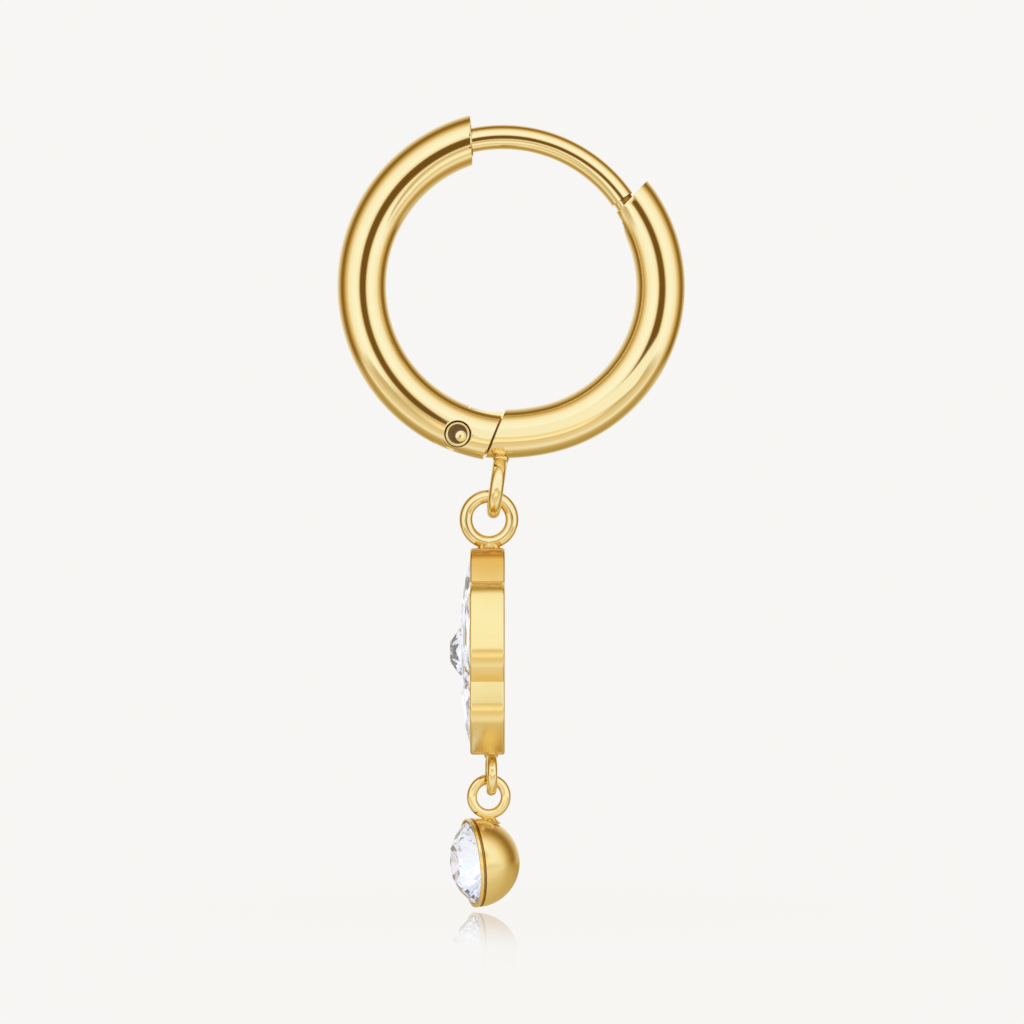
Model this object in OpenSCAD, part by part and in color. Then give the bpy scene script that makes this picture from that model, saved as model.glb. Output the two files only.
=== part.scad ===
// Hinged hoop earring with a flower pendant and a round stone drop.
// Millimetres. X runs to the right and Z up in the side view, seen along +Y.
// The origin is the top of the ear wire's centreline, where the earring hangs in the ear.
// Angles are counter-clockwise from +X in that side view, unless said otherwise.

/* [Hoop] */
// Diameter of the round tube of the hoop
tube_d = 2.0; // [1.9:0.05:2.1]
// Centreline radius of the hoop arm, the left half
arm_r = 6.21; // [6.2:0.01:6.25]
// Centreline radius of the gate arm, the right half
gate_r = 5.94; // [5.9:0.01:5.95]
// Flatter centreline radius of the gate arm where it nears the hinge
heel_r = 8.16; // [8.0:0.02:8.3]

/* [Ear wire] */
// Diameter of the ear wire
wire_d = 1.0; // [0.8:0.05:1.05]
// Centreline radius of the ear wire
wire_r = 5.94; // [5.92:0.01:5.96]
// Length of the groove that the gate snaps into
groove_l = 0.30; // [0.2:0.05:0.4]
// Depth of the groove all round
groove_depth = 0.10; // [0.05:0.01:0.12]

/* [Hinge] */
// Radius of the hinge pin
pin_r = 0.51; // [0.4:0.01:0.52]
// Half of the length of the hinge pin
pin_half_l = 0.84; // [0.7:0.02:0.9]
// Radial clearance of the gate's bore on the pin
pin_clearance = 0.03; // [0.02:0.01:0.05]
// Half of the width of the slot between the two cheeks
slot_half_w = 0.45; // [0.4:0.01:0.5]
// Gap along the seam between the hoop arm and the gate arm
seam_gap = 0.06; // [0.04:0.01:0.1]

/* [Rings] */
// Wire diameter of the ring under the gate arm
gate_ring_wire = 0.58; // [0.5:0.02:0.6]
// Wire diameter of the ring on top of the flower
top_ring_wire = 0.54; // [0.5:0.02:0.56]
// Centreline radius of the ring on top of the flower
top_ring_r = 0.94; // [0.93:0.01:0.98]
// Wire diameter of the ring below the flower and of the drop's ring
small_ring_wire = 0.42; // [0.36:0.02:0.44]
// Centreline radius of those two small rings
small_ring_r = 0.71; // [0.7:0.01:0.74]

/* [Flower] */
// How far each of the five petals reaches from the middle
petal_reach = 4.23; // [4.2:0.01:4.3]
// Radius of a petal's two round corners
petal_round = 0.85; // [0.8:0.01:0.9]
// Radius of the slight outward curve of a petal's outer edge
petal_crown_r = 18; // [14:1:30]
// Distance of each round corner's centre from the petal's middle line
petal_spread = 1.00; // [0.96:0.01:1.04]
// Radius at which two petals meet
notch_r = 3.60; // [3.54:0.01:3.66]
// Thickness of the flower from back to front rim
band_w = 1.40; // [1.3:0.05:1.6]
// Thickness of the wall round the petals
wall = 0.25; // [0.2:0.01:0.3]
// Thickness of the flower's back
back = 0.30; // [0.25:0.05:0.4]
// Gap between each stone and its seat
seat_gap = 0.03; // [0.02:0.01:0.05]

/* [Stones] */
// Height of a petal stone above the front rim
petal_stone_h = 0.355; // [0.3:0.005:0.4]
// Diameter of the round stone in the flower's middle
centre_stone_d = 2.15; // [2.0:0.05:2.15]
// Diameter of the flat table of that stone
centre_table_d = 0.82; // [0.7:0.02:1.2]
// Height of its crown
centre_crown_h = 0.48; // [0.4:0.02:0.6]
// Diameter of the drop's round stone
drop_stone_d = 3.36; // [3.2:0.02:3.38]
// Diameter of the flat table of the drop's stone
drop_table_d = 1.70; // [1.4:0.05:1.9]
// Height of its crown
drop_crown_h = 0.63; // [0.5:0.01:0.7]

/* [Drop] */
// Radius of the drop's half ball and of the band at its rim
drop_r = 1.82; // [1.8:0.01:1.86]
// Width of the band at the rim
drop_band_w = 0.17; // [0.12:0.01:0.18]
// Depth of the fine groove behind the band
drop_groove = 0.07; // [0.04:0.01:0.09]
// How far the drop's face is turned towards the viewer, in degrees
drop_yaw = 14; // [8:1:18]

/* [Hidden] */
$fn = 96;

gold = "gold";
crystal = "lightcyan";

// A point of the side view at a radius and an angle about a centre
function polar(centre, radius, angle) = [centre[0] + radius * cos(angle), centre[1] + radius * sin(angle)];

// Hoop: arc centres and where the arcs start and end
tube_r = tube_d / 2;
wire_centre = [0, -wire_r];
arm_centre = [0.453, -6.086];
gate_centre = [0.502, -6.122];
arm_end_x = -1.286;
arm_end_turn = 2.8;
heel_a = -77;
heel_step = 0.01;
heel_centre = polar(gate_centre, gate_r - heel_r, heel_a);
past_end = 8;

// Hinge: the pin lies outside the tube's centreline
pin_offset = 0.253;
pin = polar(arm_centre, arm_r + pin_offset, 249.3);
seam_turn = 22;
seam_r = 1.371;
seam_x = 1.355;
slot_back = 0.85;
tongue_half_w = slot_half_w - 0.03;
tongue_r = 0.70;
tongue_inner_r = heel_r - tube_r + 0.12;
tongue_outer_r = heel_r + tube_r - 0.12;
tongue_root_a = -86;
cheek_hole_r = pin_r + 0.037;
dish_r = 0.42;
dish_ball_r = 0.75;
dish_depth = dish_ball_r - sqrt(dish_ball_r * dish_ball_r - dish_r * dish_r);
pin_from_heel_a = atan2(pin[1] - heel_centre[1], pin[0] - heel_centre[0]);
pin_from_heel_r = norm(pin - heel_centre);

// Latch: the mouth of the gate arm and the socket behind it, swept about the pin
mouth_tip = [5.857, -1.837];
mouth_turn = -47.2;
inner_cut = [4.767, -3.012];
inner_cut_turn = -13.5;
socket_r = 0.66;
socket_from_pin = 11.54;
socket_from_a = 50.5;
socket_to_a = 59;

// Ear wire: its root in the hoop arm and its tip in the socket
wire_root_a = 120;
root_gap = 0.02;
groove_a = 34.6;
groove_span = groove_l / wire_r * 180 / PI;
tip_a = 28.6;
tip_r = wire_d / 2 - 0.03;

// Rings: the centre of the wire at the bottom of each ring, which is where the next one hangs
gate_ring_low = [-0.384, -15.29];
gate_ring_r = 0.99;
gate_ring_lean = 7.9;
gate_ring_centre = polar(gate_ring_low, gate_ring_r, 90 - gate_ring_lean);
gate_solder = [-0.10, -13.24];
gate_solder_r = 0.36;
top_ring = [-0.567, -15.604];
small_ring_low = [-0.473, -26.676];
small_ring_yaw = 13;
drop_ring = [-0.57, -26.92];

// Flower: it lies in the YZ plane and faces -X
flower_back_x = 0.082;
flower_front_x = flower_back_x - band_w;
flower_z = -21.004;
crown_centre = petal_reach - petal_crown_r;
corner_from_crown = sqrt(pow(petal_crown_r - petal_round, 2) - petal_spread * petal_spread);
corner_at = crown_centre + corner_from_crown;
corner_start_a = atan2(corner_from_crown, petal_spread);
crown_steps = 4;
corner_steps = 8;
stone_corner_steps = 4;
half_petal_a = 36;
to_notch = [notch_r * sin(half_petal_a) - petal_spread, notch_r * cos(half_petal_a) - corner_at];
side_a = atan2(to_notch[1], to_notch[0]) + acos(petal_round / norm(to_notch));
stone_side = 0.14;
stone_inner = 1.36;
collet_r = 1.28;
collet_front_x = -1.63;
centre_girdle_x = -1.667;
foot_reach = 4.22;
centre_pavilion_h = 0.95;
girdle_h = 0.05;

// Rows of a petal stone, from its keel to its table. Heights and places are shares:
// height, of the stone's height above the front rim; inner and outer end, of the petal stone's
// length from its inner edge; width, of the full width
petal_rows = [
    // [height, inner end, outer end, width]
    [-1.90, 0.20, 0.62, 0.35],
    [-0.09, 0.00, 1.00, 1.00],
    [0.58, 0.03, 0.655, 0.80],
    [1.00, 0.06, 0.235, 0.50]
];

// Drop: the half ball's centre and the turn of its face
drop_centre = [-1.131, -29.616];
drop_tilt = 5;
drop_rim = 0.215;
drop_pavilion_h = 1.25;
drop_seat_r = drop_stone_d / 2 + seat_gap;
drop_solder = [-0.57, -27.80];
drop_solder_r = 0.26;

// A round rod bent along an arc in the side view
module arc_rod(centre, radius, rod_r, from_a, to_a) {
    translate([centre[0], 0, centre[1]])
        rotate([90, 0, 0])
            rotate_extrude(angle = to_a - from_a, start = from_a)
                translate([radius, 0])
                    circle(r = rod_r);
}

// A round bar along Y through a point of the side view
module bar_across(at, radius, length) {
    translate([at[0], 0, at[1]])
        rotate([90, 0, 0])
            cylinder(r = radius, h = length, center = true);
}

// A ring of round wire, its axis along X before it is leaned in the side view and turned about Z
module wire_ring(at, radius, wire, lean, yaw) {
    translate([at[0], 0, at[1]])
        rotate([0, 90 + lean, yaw])
            rotate_extrude()
                translate([radius, 0])
                    circle(r = wire / 2);
}

// Puts its children in the hinge's frame: origin on the pin, x along the tube towards the gate
module at_hinge() {
    translate([pin[0], 0, pin[1]])
        rotate([0, seam_turn, 0])
            children();
}

// A block that keeps to x > 0, y centred and z centred, for cutting by its x = 0 face
module cutter(size) {
    translate([0, -size / 2, -size / 2])
        cube(size);
}

// All that lies on the gate's side of the seam, in the hinge's frame
module beyond_seam() {
    translate([seam_x, -2, -0.15])
        cube([3, 4, 4]);
    difference() {
        translate([0, -2, -4])
            cube([4, 4, 4]);
        rotate([90, 0, 0])
            cylinder(r = seam_r, h = 5, center = true);
    }
}

// All that lies on the hoop arm's side of the seam, in the hinge's frame
module before_seam() {
    rotate([90, 0, 0])
        cylinder(r = seam_r + seam_gap, h = 4, center = true);
    translate([seam_x + seam_gap - 4, -2, -0.15])
        cube([4, 4, 4]);
}

module hoop_arm() {
    color(gold)
        difference() {
            arc_rod(arm_centre, arm_r, tube_r, 106.4 - past_end, 267);
            translate([arm_end_x, 0, 0])
                rotate([0, -arm_end_turn, 0])
                    cutter(6);
            at_hinge()
                beyond_seam();
            at_hinge()
                translate([-slot_back, -slot_half_w, -3])
                    cube([6, 2 * slot_half_w, 6]);
            bar_across(pin, cheek_hole_r, 4);
            arc_rod(wire_centre, wire_r, wire_d / 2 + root_gap, 96, wire_root_a + 0.3);
        }
}

module ear_wire() {
    color(gold) {
        arc_rod(wire_centre, wire_r, wire_d / 2, groove_a, wire_root_a);
        arc_rod(wire_centre, wire_r, wire_d / 2 - groove_depth, groove_a - groove_span - 0.5, groove_a + 0.5);
        arc_rod(wire_centre, wire_r, tip_r, tip_a, groove_a - groove_span);
    }
}

module hinge_pin() {
    color(gold)
        difference() {
            bar_across(pin, pin_r, 2 * pin_half_l);
            for (side = [-1, 1])
                translate([pin[0], side * (pin_half_l + dish_ball_r - dish_depth), pin[1]])
                    sphere(r = dish_ball_r);
        }
}

// The curved tube of the gate arm, cut to its mouth, socket and seam
module gate_tube() {
    difference() {
        union() {
            arc_rod(gate_centre, gate_r, tube_r, heel_a, 41);
            arc_rod(heel_centre, heel_r, tube_r - heel_step, -98, heel_a + 1);
        }
        translate([mouth_tip[0], 0, mouth_tip[1]])
            rotate([0, mouth_turn - 90, 0])
                cutter(6);
        translate([inner_cut[0], 0, inner_cut[1]])
            rotate([0, 180 + inner_cut_turn, 0])
                cutter(3);
        arc_rod(pin, socket_from_pin, socket_r, socket_from_a, socket_to_a);
        at_hinge()
            before_seam();
    }
}

// The flat tongue that turns on the pin between the cheeks
module tongue() {
    tongue_arc(tongue_outer_r, pin_from_heel_a, tongue_root_a);
    tongue_arc(pin_from_heel_r, pin_from_heel_a - 4.6, pin_from_heel_a + 0.4);
    bar_across(pin, tongue_r, 2 * tongue_half_w);
}

// A flat curved bar along the heel, from the tongue's inner edge out to a radius
module tongue_arc(outer_r, from_a, to_a) {
    translate([heel_centre[0], 0, heel_centre[1]])
        rotate([90, 0, 0])
            rotate_extrude(angle = to_a - from_a, start = from_a)
                translate([tongue_inner_r, -tongue_half_w])
                    square([outer_r - tongue_inner_r, 2 * tongue_half_w]);
}

module gate_arm() {
    color(gold)
        difference() {
            union() {
                gate_tube();
                tongue();
                wire_ring(gate_ring_centre, gate_ring_r, gate_ring_wire, gate_ring_lean, 0);
                translate([gate_solder[0], 0, gate_solder[1]])
                    sphere(r = gate_solder_r);
            }
            bar_across(pin, pin_r + pin_clearance, 3);
        }
}

// A petal's round corner, in the petal's own frame: x across it and y outwards. inset moves the
// edge inwards.
function petal_corner(inset, steps) = [
    for (i = [0:steps])
        let (a = corner_start_a + (side_a - corner_start_a) * i / steps)
            [petal_spread + (petal_round - inset) * cos(a), corner_at + (petal_round - inset) * sin(a)]
];

// Half of a petal's outer edge, from its middle to the round corner
function petal_crown() = [
    for (i = [0:crown_steps - 1])
        let (a = 90 + (corner_start_a - 90) * i / crown_steps)
            [petal_crown_r * cos(a), crown_centre + petal_crown_r * sin(a)]
];

// The point where two lines meet, each given by its normal's angle and its distance from the origin
function meeting_point(a1, d1, a2, d2) = [
    (d1 * sin(a2) - d2 * sin(a1)) / sin(a2 - a1),
    (d2 * cos(a1) - d1 * cos(a2)) / sin(a2 - a1)
];

function reversed(list) = [for (i = [len(list) - 1:-1:0]) list[i]];
function mirrored(list) = [for (p = reversed(list)) [-p[0], p[1]]];

// A petal's local point in the flower's plane, where the petal points along an angle
function in_petal(p, angle) = [p[1] * cos(angle) + p[0] * sin(angle), p[1] * sin(angle) - p[0] * cos(angle)];
function petal_angle(number) = 90 + 72 * (number - 1);

// The flower's outline: five petals with a notch between each two
function flower_outline() = [
    for (n = [1:5])
        let (
            edge = concat(petal_crown(), petal_corner(0, corner_steps)),
            other_edge = [for (p = edge) if (p[0] > 0.01) [-p[0], p[1]]],
            angle = petal_angle(n)
        )
            each concat(
                [for (p = reversed(edge)) in_petal(p, angle)],
                [for (p = other_edge) in_petal(p, angle)],
                [[notch_r * cos(angle + half_petal_a), notch_r * sin(angle + half_petal_a)]]
            )
];

// Half of the width at a petal's inner edge, between the ribs
function inner_half_w(side, y) = (y * sin(half_petal_a) - side) / cos(half_petal_a);

// The outline of a petal's stone, or of its seat when grown by a gap
function stone_outline(grow) =
    let (
        inset = wall + seat_gap - grow,
        side_at = petal_spread * cos(side_a) + corner_at * sin(side_a) + petal_round - inset,
        low = stone_inner - grow,
        half = concat(
            petal_corner(inset, stone_corner_steps),
            [meeting_point(side_a, side_at, -half_petal_a, grow - stone_side)],
            [[inner_half_w(stone_side - grow, low), low]]
        )
    )
    concat(half, mirrored(half));

// Puts its children in the flower's plane at a place along X, with their own z along X
module in_flower(x) {
    translate([x, 0, flower_z])
        rotate([90, 0, 90])
            children();
}

// Puts its children with their own z out of the flower's face
module facing_out(x) {
    translate([x, 0, flower_z])
        rotate([0, -90, 0])
            children();
}

// A faceted round stone, its girdle's front edge at z = 0 and its table at z = crown_h.
// Eight kite facets and eight star facets lie round the table, and sixteen along the girdle.
module brilliant(girdle_r, table_r, crown_h, pavilion_h) {
    mid_r = table_r + 0.45 * (girdle_r - table_r);
    mid_h = crown_h * (girdle_r - mid_r * cos(22.5)) / (girdle_r - table_r);
    culet_r = 0.08 * girdle_r;
    points = concat(
        [for (i = [0:7]) [table_r * cos(45 * i), table_r * sin(45 * i), crown_h]],
        [for (i = [0:7]) [mid_r * cos(45 * i + 22.5), mid_r * sin(45 * i + 22.5), mid_h]],
        [for (i = [0:15]) [girdle_r * cos(22.5 * i), girdle_r * sin(22.5 * i), 0]],
        [for (i = [0:15]) [girdle_r * cos(22.5 * i), girdle_r * sin(22.5 * i), -girdle_h]],
        [for (i = [0:7]) [culet_r * cos(45 * i), culet_r * sin(45 * i), -pavilion_h]]
    );
    hull()
        polyhedron(points = points, faces = [for (i = [0:len(points) - 3]) [i, i + 1, i + 2]]);
}

module flower_cup() {
    difference() {
        union() {
            in_flower(flower_front_x)
                linear_extrude(height = band_w)
                    polygon(flower_outline());
            facing_out(flower_front_x + 0.5)
                cylinder(r = collet_r, h = flower_front_x + 0.5 - collet_front_x);
        }
        for (n = [1:5])
            in_flower(flower_front_x - 1)
                linear_extrude(height = band_w + 1 - back)
                    polygon([for (p = stone_outline(seat_gap)) in_petal(p, petal_angle(n))]);
        facing_out(centre_girdle_x + centre_pavilion_h)
            cylinder(r1 = 0.12, r2 = centre_stone_d / 2 + seat_gap, h = centre_pavilion_h - girdle_h);
        facing_out(centre_girdle_x + girdle_h + 0.01)
            cylinder(r = centre_stone_d / 2 + seat_gap, h = 1);
    }
}

module pendant_setting() {
    foot_z = flower_z + petal_reach;
    color(gold) {
        flower_cup();
        translate([top_ring[0], 0, top_ring[1]])
            rotate([90, 0, 0])
                rotate_extrude()
                    translate([top_ring_r, 0])
                        circle(r = top_ring_wire / 2);
        translate([top_ring[0], 0, foot_z - 0.03])
            cylinder(r1 = 0.545, r2 = 0.36, h = 0.19);
        wire_ring([small_ring_low[0], small_ring_low[1] + small_ring_r], small_ring_r, small_ring_wire,
            0, small_ring_yaw);
        translate([small_ring_low[0], 0, flower_z - foot_reach])
            cylinder(r1 = 0.30, r2 = 0.42, h = foot_reach - notch_r + 0.25);
    }
}

module petal_stone(number) {
    outline = stone_outline(0);
    stone_length = petal_reach - wall - seat_gap - stone_inner;
    points = [
        for (row = petal_rows)
            let (
                height = row[0] * petal_stone_h,
                low = stone_inner + row[1] * stone_length,
                high = stone_inner + row[2] * stone_length
            )
            for (p = outline)
                let (
                    share = (p[1] - stone_inner) / stone_length,
                    q = in_petal([p[0] * row[3], low + share * (high - low)], petal_angle(number))
                )
                [flower_front_x - height, q[0], flower_z + q[1]]
    ];
    color(crystal)
        hull()
            polyhedron(points = points, faces = [for (i = [0:len(points) - 3]) [i, i + 1, i + 2]]);
}

module centre_stone() {
    color(crystal)
        facing_out(centre_girdle_x)
            brilliant(centre_stone_d / 2, centre_table_d / 2, centre_crown_h, centre_pavilion_h - 0.08);
}

// Puts its children in the drop's frame: origin at the half ball's centre, z out of the stone's face
module in_drop() {
    translate([drop_centre[0], 0, drop_centre[1]])
        rotate([0, -90 - drop_tilt, drop_yaw])
            children();
}

module drop_cup() {
    color(gold) {
        in_drop()
            difference() {
                union() {
                    difference() {
                        sphere(r = drop_r);
                        cylinder(r = drop_r + 1, h = drop_r + 1);
                    }
                    translate([0, 0, -0.3])
                        cylinder(r = drop_r - drop_groove, h = drop_rim + 0.2);
                    translate([0, 0, drop_rim - drop_band_w])
                        cylinder(r = drop_r, h = drop_band_w);
                }
                translate([0, 0, drop_rim - girdle_h - drop_pavilion_h])
                    cylinder(r1 = 0.12, r2 = drop_seat_r, h = drop_pavilion_h);
                translate([0, 0, drop_rim - girdle_h - 0.02])
                    cylinder(r = drop_seat_r, h = 1);
            }
        translate([drop_ring[0], 0, drop_ring[1]])
            rotate([90, 0, drop_yaw])
                rotate_extrude()
                    translate([small_ring_r, 0])
                        circle(r = small_ring_wire / 2);
        translate([drop_solder[0], 0, drop_solder[1]])
            sphere(r = drop_solder_r);
    }
}

module drop_stone() {
    color(crystal)
        in_drop()
            translate([0, 0, drop_rim])
                brilliant(drop_stone_d / 2, drop_table_d / 2, drop_crown_h, drop_pavilion_h - 0.05);
}

hoop_arm();
ear_wire();
hinge_pin();
gate_arm();
pendant_setting();
petal_stone(1);  // petal_stone_1
petal_stone(2);  // petal_stone_2
petal_stone(3);  // petal_stone_3
petal_stone(4);  // petal_stone_4
petal_stone(5);  // petal_stone_5
centre_stone();
drop_cup();
drop_stone();
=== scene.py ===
import math

import bpy
from bpy.props import FloatProperty, FloatVectorProperty, PointerProperty
from mathutils import Matrix, Vector


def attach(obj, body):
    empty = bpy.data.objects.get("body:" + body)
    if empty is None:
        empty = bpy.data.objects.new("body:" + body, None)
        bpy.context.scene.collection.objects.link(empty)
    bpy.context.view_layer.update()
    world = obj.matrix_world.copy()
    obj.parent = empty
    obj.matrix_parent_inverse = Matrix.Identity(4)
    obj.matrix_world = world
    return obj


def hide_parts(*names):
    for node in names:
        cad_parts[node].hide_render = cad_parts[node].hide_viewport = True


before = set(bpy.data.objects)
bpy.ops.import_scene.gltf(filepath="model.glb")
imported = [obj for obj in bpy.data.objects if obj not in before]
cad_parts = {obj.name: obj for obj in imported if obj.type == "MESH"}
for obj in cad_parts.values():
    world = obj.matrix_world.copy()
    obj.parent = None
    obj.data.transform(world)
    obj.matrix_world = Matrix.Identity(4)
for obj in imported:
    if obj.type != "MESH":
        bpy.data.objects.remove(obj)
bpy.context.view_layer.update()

bl_info = {
    "name": "Hinged Hoop with Flower and Stone Drop",
    "version": (1, 0, 0),
    "blender": (4, 5, 0),
    "location": "3D View > Sidebar > Earring",
    "description": "Models a hinged hoop earring piece by piece around its packed CAD frame",
    "category": "Object",
}

# The pieces are worked at 1 unit to the millimetre, which suits Blender's merging and bevelling
# limits, and finish_piece() brings them to metres.
MM = 0.001

# Side-view places (x, z), radii and other sizes in millimetres, the same as the CAD source's
WIRE_CENTRE = (0, -5.94)
WIRE_BEND_R = 5.94
ARM_CENTRE = (0.453, -6.086)
ARM_BEND_R = 6.21
GATE_CENTRE = (0.502, -6.122)
HEEL_CENTRE = (0.0026, -3.9589)
HEEL_BEND_R = 8.16
PIN = (-1.8315, -12.1318)
PIN_HOLE_R = 0.55
HINGE_TURN = math.radians(22)
ARM_END = (-1.286, 0)
ARM_END_TURN = math.radians(2.8)
MOUTH = (5.857, -1.837)
MOUTH_NORMAL = (-0.7337, 0, 0.6794)
INNER_CUT = (4.767, -3.012)
INNER_CUT_TURN = math.radians(166.5)
SEAM_R = 1.371
SEAM_X = 1.355
SEAM_GAP = 0.09
SLOT_HALF = 0.45
TONGUE_HALF = 0.42
KNUCKLE_R = 1.0
GATE_RING = (-0.248, -14.309)
GATE_RING_R = 0.99
GATE_RING_LEAN = math.radians(7.9)
TOP_RING = (-0.567, -15.604)
TOP_RING_R = 0.94
SMALL_RING = (-0.473, -25.966)
SMALL_RING_R = 0.71
SMALL_RING_YAW = math.radians(4)
DROP_RING = (-0.57, -26.92)
FLOWER_BACK_X = 0.082
FLOWER_Z = -21.004
PETAL_REACH = 4.23
PETAL_TURN = 72
PETALS = range(1, 6)
DROP_CENTRE = (-1.131, -29.616)
DROP_YAW = math.radians(14)
DROP_TILT = math.radians(95)
STONES_FACE = Vector((-1, 0, 0))

# How far cutting blocks and plates reach past a tube
BEYOND_Y = 2.0
BEYOND = 4.0

# Width of the fine edge break, and the fineness to which cut solids are cleaned
FINE_EDGE = 0.02
FINE_CLEAN = 0.002

# Numbers of the finishes that mark() gives to faces, in the order of finish_piece(): painted shade
# in recesses, the wire's polish, painted shade in the pin's dish
PAINTED_RECESS_SHADE, WIRE, PAINTED_DISH_SHADE = 1, 2, 3

# Height of the floor in metres
FLOOR_Z = -0.03155


def length(name, description, default):
    """A size in metres."""
    return FloatProperty(
        name=name, description=description, default=default, min=0.0, unit="LENGTH", precision=5
    )


def share(name, description, default):
    """A plain factor."""
    return FloatProperty(
        name=name, description=description, default=default, min=0.0, max=1.0, subtype="FACTOR"
    )


def colour(name, description, default):
    """A linear colour."""
    return FloatVectorProperty(
        name=name, description=description, default=default, min=0.0, max=1.0, size=3,
        subtype="COLOR",
    )


class EarringSizes(bpy.types.PropertyGroup):
    """Sizes that may be changed a little without refitting the pieces."""

    tube_d: length("Tube", "Diameter of the hoop's round tube", 0.0020)
    wire_d: length("Ear wire", "Diameter of the ear wire", 0.0010)
    edge: length("Edge break", "Width of the polished edges of the hoop", 0.00005)
    gate_ring_wire: length("Gate ring wire", "Wire diameter of the ring under the gate", 0.00058)
    top_ring_wire: length(
        "Top ring wire", "Wire diameter of the ring on top of the flower", 0.00054
    )
    small_ring_wire: length("Small ring wire", "Wire diameter of the two small rings", 0.000415)
    band_w: length("Flower thickness", "From the flower's back to its front rim", 0.00140)
    rim_round: length("Flower rim", "Rounding of the flower's outer rim", 0.00010)
    drop_r: length("Drop radius", "Radius of the drop's half ball", 0.00182)
    drop_groove: length("Drop groove", "Depth of the fine groove round the drop", 0.00006)


class EarringColours(bpy.types.PropertyGroup):
    """Colours of the metals, the stones and the setting of the picture, and painted shade for the
    recesses, the pin's dish and the top ring's joint.
    """

    gold: colour("Gold", "Colour of the polished metal", (0.93, 0.78, 0.45))
    gold_deep: colour(
        "Deep gold", "Polished metal where the plating is thicker", (0.91, 0.74, 0.39)
    )
    satin: colour("Satin gold", "Colour of the flower and the drop's cup", (0.93, 0.75, 0.36))
    satin_deep: colour(
        "Deep satin gold", "Satin metal where the plating is thicker", (0.91, 0.71, 0.31)
    )
    # Painted warm shade round the top ring's joint
    joint_shade_tone: colour("Painted joint shade", "Painted shade round the top ring's joint", (0.77, 0.46, 0.11))
    # Painted shade: the two recess tones darken the grooves, the seam, the slot and the pin's hole
    recess: colour("Recess gold", "Painted shade in the grooves and the seam", (0.46, 0.25, 0.05))
    recess_deep: colour("Deep recess gold", "Darkest painted shade in the recesses", (0.36, 0.18, 0.03))
    # Painted shade: the two dish tones darken the floor of the pin's dish
    dish: colour("Dish gold", "Painted shade in the pin's dish", (0.20, 0.12, 0.045))
    dish_deep: colour("Deep dish gold", "Darkest painted shade in the pin's dish", (0.15, 0.09, 0.035))
    crystal: colour("Crystal", "Tint of the clear stones", (0.97, 0.98, 1.0))
    foil: colour("Foil", "Silvered backs of the stones", (0.93, 0.94, 0.97))
    backdrop: colour("Backdrop", "Paper behind and under the earring", (0.930, 0.922, 0.905))


class EarringFinish(bpy.types.PropertyGroup):
    """How polished each metal is."""

    tube: share("Tube roughness", "Roughness of the polished tube", 0.07)
    wire: share("Wire roughness", "Roughness of the ear wire and the pin", 0.08)
    setting: share("Setting roughness", "Roughness of the flower and the drop's cup", 0.24)


def mm(size):
    """A size of the panel, in working units."""
    return size / MM


def sizes():
    return bpy.context.scene.earring_sizes


def colours():
    return bpy.context.scene.earring_colours


def finish():
    return bpy.context.scene.earring_finish


# Working by hand: choosing, tracing, spinning and cutting


def put_down():
    """Leaves edit mode with nothing selected."""
    if bpy.context.mode != "OBJECT":
        bpy.ops.object.mode_set(mode="OBJECT")
    bpy.ops.object.select_all(action="DESELECT")


def take(piece):
    """Makes a piece the only one in hand."""
    put_down()
    piece.select_set(True)
    bpy.context.view_layer.objects.active = piece


def edit(piece):
    """Opens a piece with all of its points selected."""
    take(piece)
    bpy.ops.object.mode_set(mode="EDIT")
    bpy.ops.mesh.select_mode(type="VERT")
    bpy.ops.mesh.select_all(action="SELECT")


def named(name):
    """Names the piece in hand and brings its place into its mesh."""
    piece = bpy.context.object
    piece.name = piece.data.name = name
    take(piece)
    bpy.ops.object.transform_apply(location=True, rotation=True, scale=True)
    return piece


def choose_faces(piece, test):
    """In edit mode, selects the faces whose centre and normal pass a test."""
    bpy.ops.mesh.select_all(action="DESELECT")
    bpy.ops.mesh.select_mode(type="FACE")
    bpy.ops.object.mode_set(mode="OBJECT")
    for face in piece.data.polygons:
        face.select = bool(test(face.center, face.normal, face))
    bpy.ops.object.mode_set(mode="EDIT")


def choose_edges(piece, test):
    """In edit mode, selects the edges whose two ends pass a test."""
    bpy.ops.mesh.select_all(action="DESELECT")
    bpy.ops.mesh.select_mode(type="EDGE")
    bpy.ops.object.mode_set(mode="OBJECT")
    points = piece.data.vertices
    for line in piece.data.edges:
        line.select = bool(test(*(points[i].co for i in line.vertices)))
    bpy.ops.object.mode_set(mode="EDIT")


def polar(centre, radius, degrees):
    """A point of the side view, by its angle round a centre."""
    a = math.radians(degrees)
    return centre[0] + radius * math.cos(a), centre[1] + radius * math.sin(a)


def side_point(at, y=0.0):
    """A point of the side view in space."""
    return Vector((at[0], y, at[1]))


def disc_on_arc(name, centre, radius, rod_r, degrees, sides=96):
    """A disc across a bent rod, ready to be spun along it."""
    put_down()
    bpy.ops.mesh.primitive_circle_add(
        vertices=sides, radius=rod_r, fill_type="NGON",
        location=side_point(polar(centre, radius, degrees)),
        rotation=(0, -math.radians(degrees), 0),
    )
    piece = named(name)
    edit(piece)
    return piece


def bend_on(centre, degrees, steps):
    """Spins what is selected about a point of the side view."""
    bpy.ops.mesh.spin(
        steps=steps, angle=math.radians(degrees), center=side_point(centre), axis=(0, 1, 0)
    )


def set_outwards(piece):
    """Merges what a spin or a fill leaves double and turns all faces outwards."""
    edit(piece)
    bpy.ops.mesh.remove_doubles(threshold=0.0005)
    bpy.ops.mesh.normals_make_consistent(inside=False)
    put_down()


def rod(name, centre, radius, rod_r, from_a, to_a, sides=96, step=1.5):
    """A round rod bent about a centre of the side view, from one angle to another."""
    piece = disc_on_arc(name, centre, radius, rod_r, from_a, sides)
    bend_on(centre, to_a - from_a, max(2, round(abs(to_a - from_a) / step)))
    set_outwards(piece)
    return piece


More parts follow.
